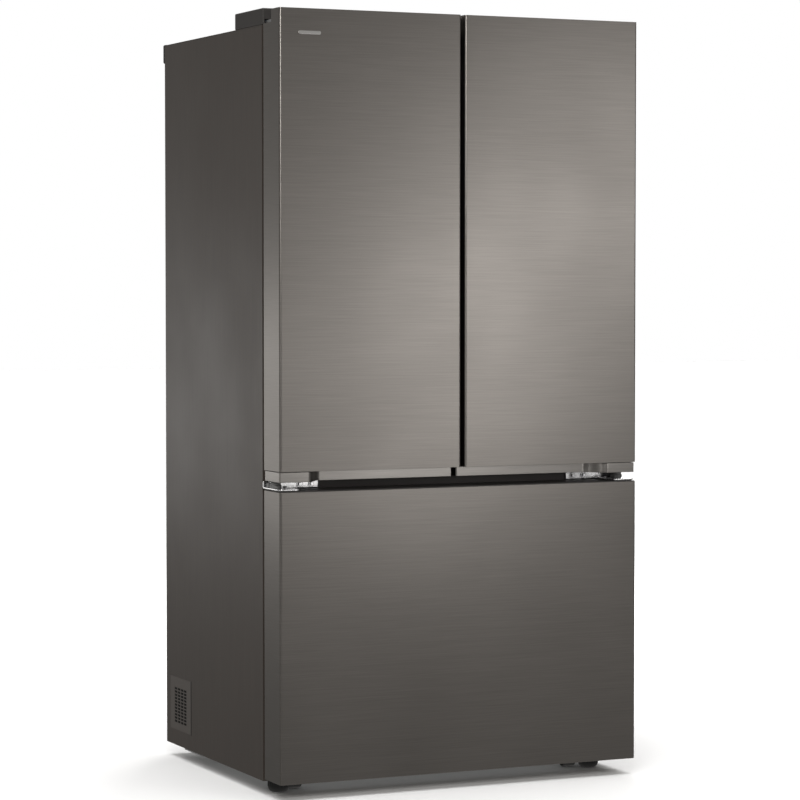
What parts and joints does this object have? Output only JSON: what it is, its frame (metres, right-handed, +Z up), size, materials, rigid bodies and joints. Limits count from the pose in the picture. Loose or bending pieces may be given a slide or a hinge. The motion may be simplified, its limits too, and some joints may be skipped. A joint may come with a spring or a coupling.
{
  "type": "french door refrigerator",
  "caption": "Counter-depth refrigerator with side-hinged fresh food doors above a freezer drawer.",
  "frame": {"origin": "on the floor, under the middle of the appliance's bounding box", "axes": "+X to the right seen from the front, +Y from the doors to the back, +Z up"},
  "size_m": [0.908, 0.755, 1.784],
  "materials": {
    "brushed_front": "dark, brushed across",
    "cabinet_paint": "satin dark brown grey",
    "galvanised": "zinc coated",
    "hinge_chrome": "bright plated",
    "aluminium_fins": "mill finish",
    "compressor_paint": "gloss black",
    "black_plastic": "matt",
    "grey_plastic": "fine grain",
    "white_plastic": "satin",
    "clear_plastic": "clear",
    "shelf_glass": "clear",
    "gasket_rubber": "matt",
    "foam": "cellular"
  },
  "bodies": {
    "cabinet": {"top_panel": "cabinet_paint", "back_panel": "galvanised", "machine_cover": "black_plastic", "base_pan": "galvanised", "rear_top_cap": "black_plastic", "front_rail": "cabinet_paint", "cabinet_foam": "foam", "fresh_food_liner": "white_plastic", "freezer_liner": "white_plastic", "side_vent_grille": "black_plastic", "compressor": "compressor_paint", "condenser": "aluminium_fins", "evaporator": "aluminium_fins", "evaporator_cover": "white_plastic", "crisper_frame": "shelf_glass", "shelf_lower_left": "shelf_glass", "shelf_lower_right": "shelf_glass", "shelf_upper": "shelf_glass", "control_panel": "white_plastic", "power_inlet": "black_plastic", "side_panel_left": "cabinet_paint", "top_hinge_left": "galvanised", "hinge_cover_left": "grey_plastic", "mid_hinge_left": "hinge_chrome", "side_panel_right": "cabinet_paint", "top_hinge_right": "galvanised", "hinge_cover_right": "grey_plastic", "mid_hinge_right": "hinge_chrome"},
    "door_left": {"door_skin_left": "brushed_front", "door_handle_cap_left": "brushed_front", "door_top_cap_left": "grey_plastic", "door_liner_left": "white_plastic", "door_gasket_left": "gasket_rubber", "door_bin_lower_left": "clear_plastic", "door_bin_upper_left": "clear_plastic"},
    "crisper_left": {"crisper_left": "clear_plastic"},
    "rail_left": {"rail_middle_left": "galvanised"},
    "leg_left": {"leveling_leg_left": "black_plastic"},
    "front_roller_left": {"front_roller_left": "black_plastic"},
    "rear_roller_left": {"rear_roller_left": "black_plastic"},
    "door_right": {"door_skin_right": "brushed_front", "door_handle_cap_right": "brushed_front", "door_top_cap_right": "grey_plastic", "door_liner_right": "white_plastic", "door_gasket_right": "gasket_rubber", "door_bin_lower_right": "clear_plastic", "door_bin_upper_right": "clear_plastic"},
    "crisper_right": {"crisper_right": "clear_plastic"},
    "rail_right": {"rail_middle_right": "galvanised"},
    "leg_right": {"leveling_leg_right": "black_plastic"},
    "front_roller_right": {"front_roller_right": "black_plastic"},
    "rear_roller_right": {"rear_roller_right": "black_plastic"},
    "mullion": {"flip_mullion": "grey_plastic"},
    "freezer_drawer": {"drawer_skin": "brushed_front", "drawer_liner": "white_plastic", "drawer_gasket": "gasket_rubber", "drawer_frame": "galvanised", "freezer_basket": "clear_plastic"},
    "condenser_fan": {"condenser_fan": "black_plastic"},
    "evaporator_fan": {"evaporator_fan": "white_plastic"}
  },
  "joints": [
    {"name": "door_left_hinge", "type": "hinge", "parent": "cabinet", "child": "door_left", "pos_m": [-0.438, -0.3115, 1.2], "axis": [0, 0, -1], "range_deg": [0, 120]},
    {"name": "door_right_hinge", "type": "hinge", "parent": "cabinet", "child": "door_right", "pos_m": [0.438, -0.3115, 1.2], "axis": [0, 0, 1], "range_deg": [0, 120]},
    {"name": "mullion_hinge", "type": "hinge", "parent": "door_left", "child": "mullion", "pos_m": [-0.017, -0.2665, 1.2], "axis": [0, 0, -1], "range_deg": [0, 88]},
    {"name": "freezer_drawer_slide", "type": "slide", "parent": "cabinet", "child": "freezer_drawer", "axis": [0, -1, 0], "range_m": [0, 0.4]},
    {"name": "rail_left_slide", "type": "slide", "parent": "cabinet", "child": "rail_left", "axis": [0, -1, 0], "range_m": [0, 0.2]},
    {"name": "crisper_left_slide", "type": "slide", "parent": "cabinet", "child": "crisper_left", "axis": [0, -1, 0], "range_m": [0, 0.25]},
    {"name": "leg_left_screw", "type": "slide", "parent": "cabinet", "child": "leg_left", "axis": [0, 0, 1], "range_m": [-0.015, 0]},
    {"name": "front_roller_left_axle", "type": "hinge", "parent": "cabinet", "child": "front_roller_left", "pos_m": [-0.357, -0.2185, 0.0185], "axis": [1, 0, 0], "continuous": true},
    {"name": "rear_roller_left_axle", "type": "hinge", "parent": "cabinet", "child": "rear_roller_left", "pos_m": [-0.357, 0.2015, 0.017], "axis": [1, 0, 0], "continuous": true},
    {"name": "rail_right_slide", "type": "slide", "parent": "cabinet", "child": "rail_right", "axis": [0, -1, 0], "range_m": [0, 0.2]},
    {"name": "crisper_right_slide", "type": "slide", "parent": "cabinet", "child": "crisper_right", "axis": [0, -1, 0], "range_m": [0, 0.25]},
    {"name": "leg_right_screw", "type": "slide", "parent": "cabinet", "child": "leg_right", "axis": [0, 0, 1], "range_m": [-0.015, 0]},
    {"name": "front_roller_right_axle", "type": "hinge", "parent": "cabinet", "child": "front_roller_right", "pos_m": [0.357, -0.2185, 0.0185], "axis": [1, 0, 0], "continuous": true},
    {"name": "rear_roller_right_axle", "type": "hinge", "parent": "cabinet", "child": "rear_roller_right", "pos_m": [0.357, 0.2015, 0.017], "axis": [1, 0, 0], "continuous": true},
    {"name": "condenser_fan_spin", "type": "hinge", "parent": "cabinet", "child": "condenser_fan", "pos_m": [-0.175, 0.2325, 0.12], "axis": [1, 0, 0], "continuous": true},
    {"name": "evaporator_fan_spin", "type": "hinge", "parent": "cabinet", "child": "evaporator_fan", "pos_m": [0, 0.2285, 0.6], "axis": [0, 1, 0], "continuous": true}
  ],
  "couplings": [
    {"joint": "rail_left_slide", "follows": "freezer_drawer_slide", "ratio": 0.5},
    {"joint": "crisper_left_slide", "follows": "door_left_hinge", "m_per_rad": 0.119},
    {"joint": "rail_right_slide", "follows": "freezer_drawer_slide", "ratio": 0.5},
    {"joint": "crisper_right_slide", "follows": "door_right_hinge", "m_per_rad": 0.119}
  ]
}
